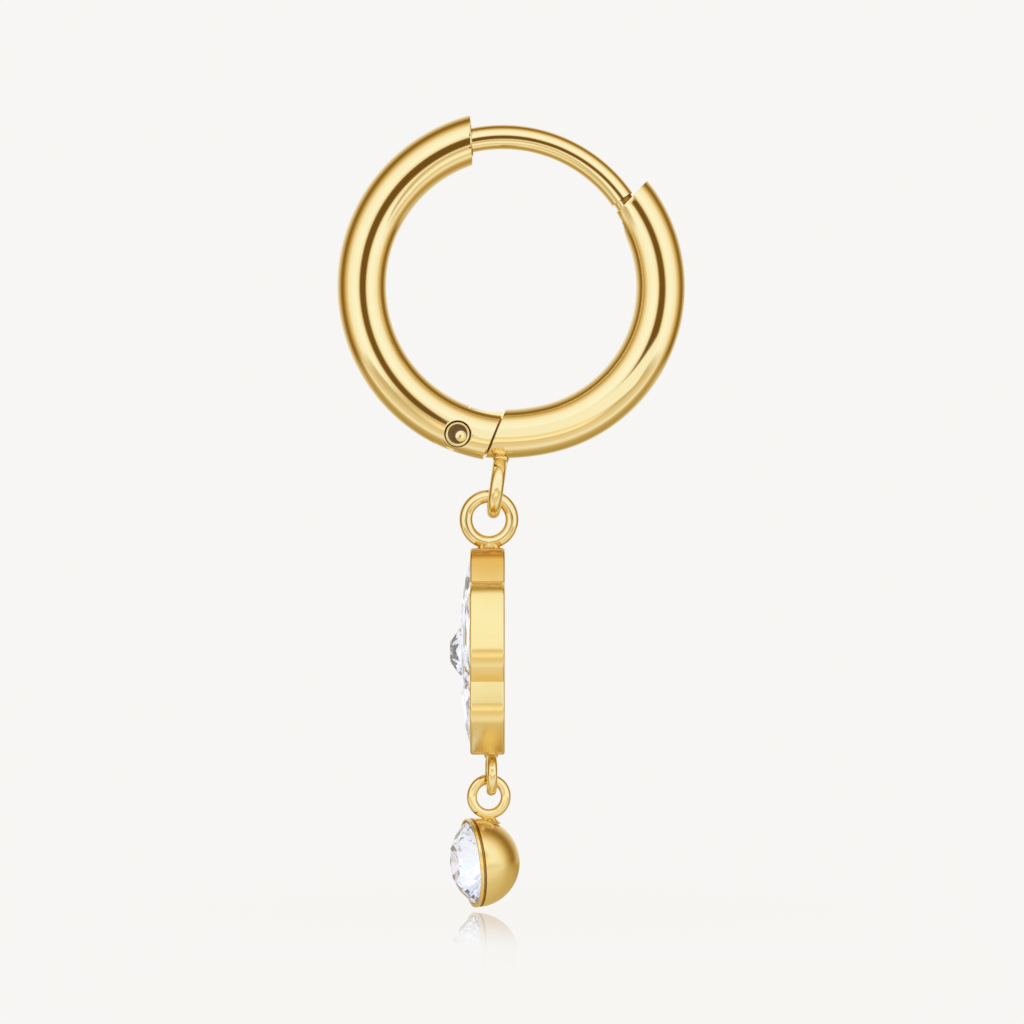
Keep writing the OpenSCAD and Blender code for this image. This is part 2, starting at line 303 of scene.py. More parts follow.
def trace(name, points):
    """Draws a line from point to point by extruding, the points given in 3-D."""
    put_down()
    bpy.ops.mesh.primitive_plane_add(size=0.1, location=points[0])
    piece = named(name)
    edit(piece)
    bpy.ops.mesh.merge(type="CENTER")
    for here, there in zip(points, points[1:]):
        bpy.ops.mesh.extrude_region_move(
            TRANSFORM_OT_translate={"value": Vector(there) - Vector(here)}
        )
    return piece


def plate(name, outline, depth):
    """A flat outline, closed, filled and drawn out along a direction."""
    piece = trace(name, outline)
    bpy.ops.mesh.select_all(action="SELECT")
    bpy.ops.mesh.edge_face_add()
    bpy.ops.mesh.extrude_region_move(TRANSFORM_OT_translate={"value": depth})
    set_outwards(piece)
    return piece


def turned(name, profile, steps):
    """A profile (radius, height) turned about Z; its ends lie on the axis."""
    piece = trace(name, [(r, 0, h) for r, h in profile])
    bpy.ops.mesh.select_all(action="SELECT")
    bpy.ops.mesh.spin(steps=steps, angle=2 * math.pi, center=(0, 0, 0), axis=(0, 0, 1))
    set_outwards(piece)
    return piece


def placed(piece, matrix):
    """Moves a piece to its place, in its mesh."""
    piece.matrix_world = matrix
    take(piece)
    bpy.ops.object.transform_apply(location=True, rotation=True, scale=True)
    return piece


def ring(name, at, radius, wire, turn):
    """A closed ring of round wire."""
    put_down()
    bpy.ops.mesh.primitive_torus_add(
        major_radius=radius, minor_radius=wire / 2, major_segments=96, minor_segments=40,
        location=side_point(at), rotation=turn,
    )
    return named(name)


def bar_across(name, at, radius, long):
    """A round bar across the hoop's plane."""
    put_down()
    bpy.ops.mesh.primitive_cylinder_add(
        vertices=96, radius=radius, depth=long, location=side_point(at),
        rotation=(math.pi / 2, 0, 0),
    )
    return named(name)


def cut_off(at, normal):
    """In edit mode, cuts what is selected along a plane and drops what lies beyond it."""
    bpy.ops.mesh.bisect(
        plane_co=side_point(at), plane_no=normal, use_fill=True,
        clear_outer=True, clear_inner=False,
    )


def block(name, low, high):
    """A block from its low corner to its high corner."""
    put_down()
    low, high = Vector(low), Vector(high)
    bpy.ops.mesh.primitive_cube_add(size=1, location=(low + high) / 2, scale=high - low)
    return named(name)


def shape_with(piece, tool, operation="DIFFERENCE"):
    """Cuts a piece with a tool, or joins the tool to it as one solid."""
    change = piece.modifiers.new(operation.title(), "BOOLEAN")
    change.operation = operation
    change.solver = "EXACT"
    change.object = tool
    take(piece)
    bpy.ops.object.modifier_apply(modifier=change.name)
    bpy.data.objects.remove(tool)


def break_edges(piece):
    """Rounds all edges that cutting has left sharp."""
    change = piece.modifiers.new("Edge break", "BEVEL")
    change.width = FINE_EDGE
    change.segments = 2
    change.limit_method = "ANGLE"
    change.angle_limit = math.radians(38)
    change.use_clamp_overlap = True
    take(piece)
    bpy.ops.object.modifier_apply(modifier=change.name)


def clean(piece, smallest=0.004):
    """Merges slivers that cutting leaves."""
    edit(piece)
    bpy.ops.mesh.remove_doubles(threshold=smallest)
    bpy.ops.mesh.dissolve_degenerate(threshold=smallest)
    bpy.ops.mesh.normals_make_consistent(inside=False)
    put_down()


def finish_piece(piece, name, body, slot, material, *nodes, smooth=30):
    """Brings a piece to metres, gives it its finish and ties it to the frame."""
    piece.name = piece.data.name = name
    take(piece)
    piece.scale = (MM, MM, MM)
    bpy.ops.object.transform_apply(location=True, rotation=True, scale=True)
    bpy.ops.object.shade_smooth_by_angle(angle=math.radians(smooth))
    marks = [face.material_index for face in piece.data.polygons]
    piece.data.materials.clear()
    piece.data.materials.append(material)
    if max(marks):
        for extra in (painted_recess_shade(), wire_gold(), painted_dish_shade()):
            piece.data.materials.append(extra)
    for face, number in zip(piece.data.polygons, marks):
        face.material_index = number
    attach(piece, body)
    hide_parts(*nodes)
    put_down()


# Finishes


class Tree:
    """A short way to lay out a node tree."""

    def __init__(self, tree):
        self.tree = tree
        tree.nodes.clear()

    def add(self, kind, inputs=None, **settings):
        node = self.tree.nodes.new(kind)
        for key, value in settings.items():
            setattr(node, key, value)
        for key, value in (inputs or {}).items():
            if isinstance(value, bpy.types.NodeSocket):
                self.tree.links.new(value, node.inputs[key])
            else:
                node.inputs[key].default_value = value
        return node

    def ramp(self, factor, stops):
        """Tones along a factor, given as pairs of a place and a tone."""
        node = self.add("ShaderNodeValToRGB", {"Fac": factor})
        elements = node.color_ramp.elements
        node.color_ramp.interpolation = "EASE"
        while len(elements) < len(stops):
            elements.new(0.5)
        for element, (place, tone) in zip(elements, stops):
            element.position = place
            element.color = (*tone, 1)
        return node.outputs["Color"]

    def fade(self, value, start, end, low, high):
        """A soft change from one value to another, along a third."""
        return self.add(
            "ShaderNodeMapRange",
            {"Value": value, "From Min": start, "From Max": end, "To Min": low, "To Max": high},
            interpolation_type="SMOOTHSTEP",
        ).outputs[0]

    def blend_tones(self, factor, first, second):
        node = self.add("ShaderNodeMix", {"Factor": factor}, data_type="RGBA")
        for socket, tone in ((node.inputs[6], first), (node.inputs[7], second)):
            if isinstance(tone, bpy.types.NodeSocket):
                self.tree.links.new(tone, socket)
            else:
                socket.default_value = (*tone, 1)
        return node.outputs[2]

    def calculate(self, operation, *values):
        return self.add("ShaderNodeMath", dict(enumerate(values)), operation=operation).outputs[0]

    def distance(self, place, point):
        node = self.add("ShaderNodeVectorMath", {0: place, 1: point}, operation="DISTANCE")
        return node.outputs["Value"]

    def noise(self, place, scale, detail, roughness=0.5):
        node = self.add(
            "ShaderNodeTexNoise",
            {"Vector": place, "Scale": scale, "Detail": detail, "Roughness": roughness},
        )
        return node.outputs["Fac"]

    def object_place(self):
        """The place on the piece, in metres and in millimetres."""
        metres = self.add("ShaderNodeTexCoord").outputs["Object"]
        scaled = self.add("ShaderNodeMapping", {"Vector": metres, "Scale": (1000, 1000, 1000)})
        return metres, scaled.outputs[0]

    def mix_shaders(self, factor, first, second):
        shaders = {0: factor, 1: first.outputs[0], 2: second.outputs[0]}
        return self.add("ShaderNodeMixShader", shaders)

    def surface(self, shader):
        self.add("ShaderNodeOutputMaterial", {"Surface": shader.outputs[0]})


def new_material(name):
    """A new material and its empty node tree."""
    material = bpy.data.materials.new(name)
    material.use_nodes = True
    return material, Tree(material.node_tree)


def gold(name, tones, roughness, wander, scratch, grain_scale, tint=None):
    """Gold plate: colour and polish that wander a little, with fine scratches.

    A tint (place in metres, inner and outer reach, colour) paints warm shade over the plating round
    a joint.
    """
    if name in bpy.data.materials:
        return bpy.data.materials[name]
    material, t = new_material(name)
    place, millimetres = t.object_place()
    grain = t.noise(millimetres, grain_scale, 4.0, 0.6)
    streaks = t.add(
        "ShaderNodeMapping",
        {"Vector": millimetres, "Scale": (9.0, 1.3, 9.0), "Rotation": (0.5, 0.2, 0.8)},
    )
    lines = t.noise(streaks.outputs[0], 1.2, 2.0)
    plating = t.blend_tones(t.noise(millimetres, 0.55, 3.0), *tones)
    # Painted shade: the tint darkens and warms the colour round the joint
    if tint:
        joint, inner, outer, warm = tint
        near_joint = t.fade(t.distance(place, joint), inner, outer, 1.0, 0.0)
        plating = t.blend_tones(near_joint, plating, warm)
    polish = t.add(
        "ShaderNodeMapRange",
        {"Value": grain, "From Min": 0.3, "From Max": 0.7,
         "To Min": roughness * (1 - wander), "To Max": roughness * (1 + wander)},
    )
    fine = t.add("ShaderNodeBump", {"Height": lines, "Strength": 1.0, "Distance": scratch})
    shader = t.add(
        "ShaderNodeBsdfPrincipled",
        {"Base Color": plating, "Roughness": polish.outputs[0], "Metallic": 1.0,
         "Normal": fine.outputs[0]},
    )
    t.surface(shader)
    return material


def tube_gold():
    tones = colours().gold, colours().gold_deep
    return gold("polished_gold", tones, finish().tube, 0.25, 1.2e-7, 2.2)


def wire_gold():
    tones = colours().gold, colours().gold_deep
    return gold("wire_gold", tones, finish().wire, 0.25, 1.5e-7, 2.6)


def setting_gold():
    # Painted warm shade round the top ring's joint on the flower
    joint = Vector((TOP_RING[0], 0, FLOWER_Z + 4.2)) * MM
    return gold(
        "satin_gold", (colours().satin, colours().satin_deep), finish().setting, 0.12, 1.0e-7, 3.4,
        (joint, 0.0018, 0.0034, colours().joint_shade_tone),
    )


def painted_recess_shade():
    """Gold darkened with painted shade, for the grooves, the seam, the slot and the pin's hole."""
    return gold("painted_recess_shade", (colours().recess, colours().recess_deep), 0.32, 0.3, 3.0e-7, 3.0)


def painted_dish_shade():
    """Gold darkened with painted shade, for the floor of the pin's dish."""
    return gold("painted_dish_shade", (colours().dish, colours().dish_deep), 0.34, 0.3, 3.0e-7, 3.0)


def mark(piece, finish_number, test):
    """Marks faces for finish_piece() as PAINTED_RECESS_SHADE, WIRE or PAINTED_DISH_SHADE."""
    for face in piece.data.polygons:
        if test(face.center, face.normal, face):
            face.material_index = finish_number


def crystal():
    """Clear cut glass, with a faint painted pale-blue glow."""
    if "glowing_cut_crystal" in bpy.data.materials:
        return bpy.data.materials["glowing_cut_crystal"]
    material, t = new_material("glowing_cut_crystal")
    _, millimetres = t.object_place()
    haze = t.noise(millimetres, 2.0, 3.0)
    polish = t.add("ShaderNodeMapRange", {"Value": haze, "To Min": 0.0, "To Max": 0.03})
    rub = t.noise(millimetres, 6.0, 2.0)
    wave = t.add("ShaderNodeBump", {"Height": rub, "Distance": 1.0e-7})
    shader = t.add(
        "ShaderNodeBsdfPrincipled",
        {"Base Color": (*colours().crystal, 1), "Roughness": polish.outputs[0], "IOR": 1.56,
         "Transmission Weight": 1.0, "Normal": wave.outputs[0],
         # Painted glow: a faint pale-blue emission, though the stone is no lamp
         "Emission Color": (0.86, 0.90, 1.0, 1), "Emission Strength": 0.05,
         "Thin Film Thickness": 340.0, "Thin Film IOR": 1.30},
    )
    t.surface(shader)
    return material


def foil():
    """The silvered back of a stone, seen through the glass."""
    if "silver_foil" in bpy.data.materials:
        return bpy.data.materials["silver_foil"]
    material, t = new_material("silver_foil")
    _, millimetres = t.object_place()
    crinkle = t.noise(millimetres, 4.0, 3.0)
    polish = t.add("ShaderNodeMapRange", {"Value": crinkle, "To Min": 0.05, "To Max": 0.16})
    wave = t.add("ShaderNodeBump", {"Height": crinkle, "Distance": 2.0e-6})
    shader = t.add(
        "ShaderNodeBsdfPrincipled",
        {"Base Color": (*colours().foil, 1), "Roughness": polish.outputs[0], "Metallic": 1.0,
         "Normal": wave.outputs[0]},
    )
    t.surface(shader)
    return material


# Pieces


def hinge_place():
    """The hinge's own frame: its origin on the pin, x along the tube towards the gate."""
    return Matrix.Translation(side_point(PIN)) @ Matrix.Rotation(HINGE_TURN, 4, "Y")


def arc_points(radius, from_a, to_a, steps, y=0.0):
    """Points along an arc of the side view, both ends included."""
    return [
        Vector((radius * math.cos(a), y, radius * math.sin(a)))
        for a in (math.radians(from_a + (to_a - from_a) * i / steps) for i in range(steps + 1))
    ]


class EARRING_OT_hoop_arm(bpy.types.Operator):
    """Model the left half of the hoop, slotted for the hinge and bored for the ear wire"""

    bl_idname = "earring.hoop_arm"
    bl_label = "Hoop Arm"
    bl_options = {"REGISTER", "UNDO"}

    def execute(self, context):
        s = sizes()
        wire_gap, fine_bend = 0.02, 1.0
        end = Vector((math.cos(ARM_END_TURN), 0, math.sin(ARM_END_TURN)))
        piece = rod("hoop_arm", ARM_CENTRE, ARM_BEND_R, mm(s.tube_d) / 2, 103, 267, step=fine_bend)
        edit(piece)
        choose_faces(piece, lambda c, n, f: c.z > ARM_CENTRE[1])
        cut_off(ARM_END, end)
        put_down()
        bore_r = mm(s.wire_d) / 2 + wire_gap
        shape_with(piece, rod("wire_bore", WIRE_CENTRE, WIRE_BEND_R, bore_r, 96, 118.4, 72))
        self.cut_hinge(piece)
        clean(piece)
        self.round_end(piece, side_point(ARM_END), end, mm(s.edge))
        break_edges(piece)
        inwards = hinge_place().inverted()
        # Painted shade on the slot's end faces in the seam
        mark(piece, PAINTED_RECESS_SHADE, lambda c, n, f: (
            (inwards @ c).x > 0.2 and (inwards.to_3x3() @ n).x > 0.75
        ))
        pin, hole_wall = side_point(PIN), PIN_HOLE_R + 0.003
        # Painted shade on the walls of the pin's hole
        mark(piece, PAINTED_RECESS_SHADE, lambda c, n, f: (c - pin).xz.length < hole_wall and abs(n.y) < 0.5)
        finish_piece(piece, "polished_hoop_arm", "hoop", "gold_tube", tube_gold(), "hoop_arm")
        return {"FINISHED"}

    @staticmethod
    def cut_hinge(piece):
        """Cuts the seam, the gate's slot, the room for its knuckle and the pin's hole."""
        knuckle_gap, low_end = 0.012, -0.15
        outline = (
            [Vector((SEAM_X, -BEYOND_Y, BEYOND)), Vector((SEAM_X, -BEYOND_Y, low_end))]
            + arc_points(SEAM_R, -7, -90, 24, -BEYOND_Y)
            + [Vector(corner) for corner in (
                (0, -BEYOND_Y, -BEYOND), (BEYOND, -BEYOND_Y, -BEYOND), (BEYOND, -BEYOND_Y, BEYOND)
            )]
        )
        seam = plate("seam", outline, (0, 2 * BEYOND_Y, 0))
        shape_with(piece, placed(seam, hinge_place()))
        slot = block("slot", (0, -SLOT_HALF, -3), (BEYOND, SLOT_HALF, 3))
        shape_with(piece, placed(slot, hinge_place()))
        shape_with(piece, bar_across("knuckle_room", PIN, KNUCKLE_R + knuckle_gap, 2 * SLOT_HALF))
        shape_with(piece, bar_across("pin_hole", PIN, PIN_HOLE_R, 2 * BEYOND_Y))

    @staticmethod
    def round_end(piece, middle, end, width):
        """Rounds the outer edge of the arm's end and leaves the edge of the bore sharp."""
        edit(piece)
        choose_edges(piece, lambda a, b: all(
            abs((p - middle).dot(end)) < 0.004 and (p - middle).length > 0.8 for p in (a, b)
        ))
        bpy.ops.mesh.bevel(offset=width, segments=4, affect="EDGES")
        put_down()


class EARRING_OT_ear_wire(bpy.types.Operator):
    """Model the ear wire with its snap groove and rounded tip"""

    bl_idname = "earring.ear_wire"
    bl_label = "Ear Wire"
    bl_options = {"REGISTER", "UNDO"}

    def execute(self, context):
        root, groove_at = 119.5, 34.9
        groove = ((0.10, 0.96), (0.10, 0.93), (0.10, 0.92), (2.6, 1.0))
        collar = ((0.12, 1.06), (0.15, 1.08), (0.15, 1.06), (3.0, 1.0))
        tip = ((1.2, 0.985), (0.7, 0.93), (0.45, 0.86), (0.3, 0.72), (0.12, 0.5))
        piece = disc_on_arc("ear_wire", WIRE_CENTRE, WIRE_BEND_R, mm(sizes().wire_d) / 2, root, 72)
        bend_on(WIRE_CENTRE, groove_at - root, 64)
        for degrees, scale in groove + collar + tip:
            bend_on(WIRE_CENTRE, -degrees, 1)
            bpy.ops.transform.resize(value=(scale, scale, scale))
        set_outwards(piece)
        middle, outer_side = side_point(WIRE_CENTRE), WIRE_BEND_R - 0.12
        # Painted shade in the ear wire's snap groove
        mark(piece, PAINTED_RECESS_SHADE, lambda c, n, f: (
            31.7 < math.degrees(math.atan2(c.z - middle.z, c.x)) < 34.95
            and (c - middle).xz.length > outer_side
        ))
        finish_piece(piece, "ear_wire_rod", "hoop", "gold_wire", wire_gold(), "ear_wire")
        return {"FINISHED"}


class EARRING_OT_hinge_pin(bpy.types.Operator):
    """Model the hinge pin with its two dished ends"""

    bl_idname = "earring.hinge_pin"
    bl_label = "Hinge Pin"
    bl_options = {"REGISTER", "UNDO"}

    def execute(self, context):
        half, dish_r = 0.84, 0.37
        mound = [(0, 0.070), (0.09, 0.072), (0.15, 0.086), (0.19, 0.112), (0.22, 0.127)]
        dish = [(dish_r, 0.127), (0.388, 0.120), (0.395, 0.090), (0.397, 0.030), (0.408, 0.010)]
        rim = [(0.43, 0), (0.465, 0), (0.49, 0.012), (0.505, 0.035), (0.51, 0.06)]
        shaft = [(0.51, 0.38), (0.5385, 0.36)]
        profile = [(r, half - down) for r, down in mound + dish + rim] + shaft
        profile += [(r, -h) for r, h in reversed(profile)]
        piece = turned("hinge_pin", profile, 72)
        self.push_mounds(piece)
        placed(piece, Matrix.Translation(side_point(PIN)) @ Matrix.Rotation(math.pi / 2, 4, "X"))
        # Painted shade on the floor of each of the pin's dishes
        mark(piece, PAINTED_DISH_SHADE, lambda c, n, f: (
            (c - side_point(PIN)).xz.length < dish_r + 0.022
            and half - 0.128 < abs(c.y) < half - 0.122
        ))
        finish_piece(
            piece, "dished_hinge_pin", "hoop", "gold_wire", wire_gold(), "hinge_pin", smooth=40
        )
        return {"FINISHED"}

    @staticmethod
    def push_mounds(piece):
        """Moves the mound in each dish off its middle."""
        edit(piece)
        choose_faces(piece, lambda c, n, f: math.hypot(c.x, c.y) < 0.21)
        bpy.ops.transform.translate(value=(0.13, -0.09, 0))
        put_down()


class EARRING_OT_gate_arm(bpy.types.Operator):
    """Model the right half of the hoop with its mouth, tongue and soldered ring"""

    bl_idname = "earring.gate_arm"
    bl_label = "Gate Arm"
    bl_options = {"REGISTER", "UNDO"}

    def execute(self, context):
        s = sizes()
        piece = disc_on_arc("gate_arm", HEEL_CENTRE, HEEL_BEND_R, mm(s.tube_d) / 2, -98)
        bend_on(HEEL_CENTRE, 21, 21)
        bend_on(GATE_CENTRE, 112, 112)
        bend_on(GATE_CENTRE, 6.5, 1)
        set_outwards(piece)
        self.open_mouth(piece, mm(s.edge))
        socket_bend_r, socket_r = 11.54, 0.66
        shape_with(piece, rod("socket", PIN, socket_bend_r, socket_r, 50.5, 59.5, 64, 1.0))
        self.cut_seam(piece)
        self.add_tongue(piece)
        shape_with(piece, bar_across("bore", PIN, 0.54, 3))
        clean(piece)
        break_edges(piece)
        inwards = hinge_place().inverted()
        # Painted shade on the tongue's faces in the seam gap
        mark(piece, PAINTED_RECESS_SHADE, lambda c, n, f: (
            0.9 < (inwards @ c).x < 1.6 and (inwards.to_3x3() @ n).x < -0.6
        ))
        self.add_ring(piece, mm(s.gate_ring_wire))
        finish_piece(piece, "polished_gate_arm", "gate", "gold_tube", tube_gold(), "gate_arm")
        return {"FINISHED"}

    @staticmethod
    def open_mouth(piece, edge):
        """Cuts the slanted mouth and its inner corner, and rounds the mouth's edge."""
        normal = Vector(MOUTH_NORMAL)
        edit(piece)
        cut_off(MOUTH, normal)
        put_down()
        place = Matrix.Translation(side_point(INNER_CUT)) @ Matrix.Rotation(INNER_CUT_TURN, 4, "Y")
        shape_with(piece, placed(block("inner_cut", (0, -1.5, -1.5), (3, 1.5, 1.5)), place))
        clean(piece, FINE_CLEAN)
        edit(piece)
        choose_faces(piece, lambda c, n, f: n.dot(normal) > 0.999 and len(f.vertices) > 20)
        bpy.ops.mesh.region_to_loop()
        bpy.ops.mesh.bevel(offset=edge, segments=4, affect="EDGES", clamp_overlap=True)
        put_down()

    @staticmethod
    def cut_seam(piece):
        """Cuts the gate's end back from the hoop arm's, round behind the knuckle."""
        outline = (
            [Vector((SEAM_X + SEAM_GAP, -BEYOND_Y, BEYOND))]
            + arc_points(SEAM_R + SEAM_GAP, 8.6, -180, 48, -BEYOND_Y)
            + [Vector((-BEYOND, -BEYOND_Y, 0)), Vector((-BEYOND, -BEYOND_Y, BEYOND))]
        )
        seam = plate("seam", outline, (0, 2 * BEYOND_Y, 0))
        shape_with(piece, placed(seam, hinge_place()))

    @staticmethod
    def add_tongue(piece):
        """Adds the tongue that reaches the pin, and the round knuckle that fills the slot there."""
        inner_r, outer_r, root, eye_r = 7.28, 9.04, -84, 0.70
        centre = side_point(HEEL_CENTRE, -TONGUE_HALF)
        pin = side_point(PIN, -TONGUE_HALF)
        outline = [centre + p for p in arc_points(outer_r, root, -102.6, 12)]
        outline += [pin + p for p in arc_points(eye_r, -106, -250, 16)]
        outline += [centre + p for p in arc_points(inner_r, -107.2, root, 14)]
        shape_with(piece, plate("tongue", outline, (0, 2 * TONGUE_HALF, 0)), "UNION")
        knuckle = bar_across("knuckle", PIN, KNUCKLE_R, 0.83)
        web = placed(block("web", (0.05, -0.41, -2), (1.33, 0.41, 2)), hinge_place())
        shape_with(knuckle, web, "UNION")
        hoop_form = rod("hoop_form", ARM_CENTRE, ARM_BEND_R, 0.985, 238, 272, step=1.0)
        shape_with(knuckle, hoop_form, "INTERSECT")
        shape_with(piece, knuckle, "UNION")

    @staticmethod
    def add_ring(piece, wire):
        """Adds the ring under the gate and its solder."""
        turn = (0, math.pi / 2 + GATE_RING_LEAN, 0)
        shape_with(piece, ring("gate_ring", GATE_RING, GATE_RING_R, wire, turn), "UNION")
        solder = turned(
            "solder",
            [(0, -0.62), (0.12, -0.60), (0.20, -0.54), (0.265, -0.44), (0.295, -0.32),
             (0.305, -0.16), (0.31, 0.06), (0.33, 0.16), (0.35, 0.24), (0.35, 0.40), (0, 0.40)],
            64,
        )
        lean = Matrix.Rotation(GATE_RING_LEAN, 4, "Y")
        top = Matrix.Translation((0, 0, GATE_RING_R))
        place = Matrix.Translation(side_point(GATE_RING)) @ lean @ top
        shape_with(piece, placed(solder, place), "UNION")


def petal_outline(inset=0.0, corner_steps=12, crown_steps=6):
    """Half of a petal's outline (across, outwards), from its middle to its round corner's end."""
    round_r, crown_r, spread, notch_r = 0.85, 18.0, 1.00, 3.60
    crown_centre = PETAL_REACH - crown_r
    rise = math.sqrt((crown_r - round_r) ** 2 - spread ** 2)
    corner_at = crown_centre + rise
    start = math.atan2(rise, spread)
    half_turn = math.radians(PETAL_TURN / 2)
    notch = Vector((notch_r * math.sin(half_turn), notch_r * math.cos(half_turn)))
    to_notch = notch - Vector((spread, corner_at))
    side = math.atan2(to_notch.y, to_notch.x) + math.acos(round_r / to_notch.length)
    points = []
    for i in range(crown_steps):
        a = math.pi / 2 + (start - math.pi / 2) * i / crown_steps
        r = crown_r - inset
        points.append(Vector((r * math.cos(a), crown_centre + r * math.sin(a))))
    for i in range(corner_steps + 1):
        a = start + (side - start) * i / corner_steps
        r = round_r - inset
        points.append(Vector((spread + r * math.cos(a), corner_at + r * math.sin(a))))
    side_at = spread * math.cos(side) + corner_at * math.sin(side) + round_r - inset
    return points, side, side_at, notch


def both_halves(half):
    """A petal's whole outline, from the half that petal_outline() gives."""
    return [Vector((-p.x, p.y)) for p in reversed(half[1:])] + half


def meeting_point(a1, d1, a2, d2):
    """Where two lines meet, each given by its normal's angle and its distance from the origin."""
    turn = math.sin(a2 - a1)
    across = d1 * math.sin(a2) - d2 * math.sin(a1)
    outwards = d2 * math.cos(a1) - d1 * math.cos(a2)
    return Vector((across / turn, outwards / turn))


def in_flower(point, number, x):
    """A petal's flat point (across, outwards) in space, for petals 1 to 5."""
    a = math.radians(90 + PETAL_TURN * (number - 1))
    y = point.y * math.cos(a) + point.x * math.sin(a)
    z = point.y * math.sin(a) - point.x * math.cos(a)
    return Vector((x, y, FLOWER_Z + z))


class EARRING_OT_pendant_setting(bpy.types.Operator):
    """Model the flower's cup with its seats, both rings and their solder"""

    bl_idname = "earring.pendant_setting"
    bl_label = "Flower Setting"
    bl_options = {"REGISTER", "UNDO"}

    def execute(self, context):
        s = sizes()
        band, boss_x, wire_from = mm(s.band_w), -1.63, 4.26
        front = FLOWER_BACK_X - band
        outline = []
        for number in PETALS:
            half, _, _, notch = petal_outline()
            outline += [in_flower(p, number, front) for p in reversed(both_halves(half))]
            outline.append(in_flower(Vector((-notch.x, notch.y)), number, front))
        piece = plate("flower", outline, (band, 0, 0))
        self.round_rims(piece, mm(s.rim_round))
        for number in PETALS:
            shape_with(piece, self.petal_seat(number, front, band))
        out = Matrix.Translation((boss_x, 0, FLOWER_Z)) @ Matrix.Rotation(-math.pi / 2, 4, "Y")
        boss = turned("boss", [(0, -0.5), (1.28, -0.5), (1.28, -0.03), (1.25, 0.0), (0, 0.0)], 72)
        shape_with(piece, placed(boss, out), "UNION")
        hole = turned("hole", [(0, 0.5), (1.1, 0.5), (1.1, -0.08), (0.12, -0.95), (0, -0.95)], 72)
        shape_with(piece, placed(hole, out))
        self.add_rings(piece, s)
        clean(piece, FINE_CLEAN)
        mark(piece, WIRE, lambda c, n, f: abs(c.z - FLOWER_Z) > wire_from)
        finish_piece(
            piece, "flower_setting", "pendant", "gold_setting", setting_gold(), "pendant_setting"
        )
        return {"FINISHED"}

    @staticmethod
    def round_rims(piece, width):
        """Rounds the flower's outline at its front and its back."""
        edit(piece)
        choose_faces(piece, lambda c, n, f: abs(n.x) > 0.99)
        bpy.ops.mesh.region_to_loop()
        bpy.ops.mesh.bevel(offset=width, segments=5, affect="EDGES")
        put_down()

    @staticmethod
    def petal_seat(number, front, band):
        """The pocket of a petal stone, with a rim round it and a rib to the next petal."""
        rim, rib_half, low, floor_t, ahead = 0.25, 0.11, 1.33, 0.30, 0.5
        half, side, side_at, _ = petal_outline(rim, 6, 3)
        sector = math.radians(-PETAL_TURN / 2)
        half.append(meeting_point(side, side_at, sector, -rib_half))
        half.append(Vector(((low * math.sin(-sector) - rib_half) / math.cos(sector), low)))
        outline = [in_flower(p, number, front - ahead) for p in both_halves(half)]
        return plate("seat", outline, (band + ahead - floor_t, 0, 0))

    @staticmethod
    def add_rings(piece, s):
        """Adds the ring on top, the ring below, and the solder that joins each to the flower."""
        solder_at = 4.22
        turn = (math.pi / 2, 0, 0)
        large = ring("top_ring", TOP_RING, TOP_RING_R, mm(s.top_ring_wire), turn)
        shape_with(piece, large, "UNION")
        foot = turned(
            "foot", [(0, -0.20), (0.60, -0.20), (0.545, -0.03), (0.47, 0.02), (0.41, 0.08),
                     (0.37, 0.16), (0.30, 0.24), (0, 0.24)], 48,
        )
        above = Matrix.Translation((TOP_RING[0], 0, FLOWER_Z + solder_at))
        shape_with(piece, placed(foot, above), "UNION")
        turn = (0, math.pi / 2, SMALL_RING_YAW)
        small = ring("small_ring", SMALL_RING, SMALL_RING_R, mm(s.small_ring_wire), turn)
        shape_with(piece, small, "UNION")
        post = turned(
            "post", [(0, -0.20), (0.20, -0.17), (0.27, -0.08), (0.30, 0.05), (0.34, 0.25),
                     (0.42, 0.60), (0.44, 1.1), (0, 1.1)], 48,
        )
        below = Matrix.Translation((SMALL_RING[0], 0, FLOWER_Z - solder_at))
        shape_with(piece, placed(post, below), "UNION")


def cut_stone(node, name, body, axis):
    """Sharpens a copy of a CAD stone into flat facets and silvers those turned from the axis."""
    silvered_below = -0.05
    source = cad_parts[node]
    put_down()
    source.select_set(True)
    bpy.context.view_layer.objects.active = source
    bpy.ops.object.duplicate()
    piece = bpy.context.object
    piece.parent = None
    for key in list(piece.keys()):
        if key.startswith("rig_"):
            del piece[key]
    piece.name = piece.data.name = name
    edit(piece)
    bpy.ops.mesh.remove_doubles(threshold=2.0e-6)
    bpy.ops.mesh.dissolve_limited(angle_limit=math.radians(0.8))
    bpy.ops.mesh.normals_make_consistent(inside=False)
    put_down()
    take(piece)
    bpy.ops.object.shade_flat()
    piece.data.materials.clear()
    piece.data.materials.append(crystal())
    piece.data.materials.append(foil())
    for face in piece.data.polygons:
        face.material_index = 1 if face.normal.dot(axis) < silvered_below else 0
    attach(piece, body)
    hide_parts(node)
    put_down()


class EARRING_OT_petal_stones(bpy.types.Operator):
    """Cut the five petal stones"""

    bl_idname = "earring.petal_stones"
    bl_label = "Petal Stones"
    bl_options = {"REGISTER", "UNDO"}

    def execute(self, context):
        for number in PETALS:
            node, name = f"petal_stone_{number}", f"petal_crystal_{number}"
            cut_stone(node, name, "pendant", STONES_FACE)
        return {"FINISHED"}


class EARRING_OT_round_stones(bpy.types.Operator):
    """Cut the flower's centre stone and the drop's stone"""

    bl_idname = "earring.round_stones"
    bl_label = "Round Stones"
    bl_options = {"REGISTER", "UNDO"}

    def execute(self, context):
        cut_stone("centre_stone", "centre_crystal", "pendant", STONES_FACE)
        axis = drop_turn() @ Vector((0, 0, 1))
        cut_stone("drop_stone", "drop_crystal", "drop", axis)
        return {"FINISHED"}


def drop_turn():
    """The drop's turn from a cup that opens upwards."""
    return Matrix.Rotation(DROP_YAW, 4, "Z") @ Matrix.Rotation(-DROP_TILT, 4, "Y")


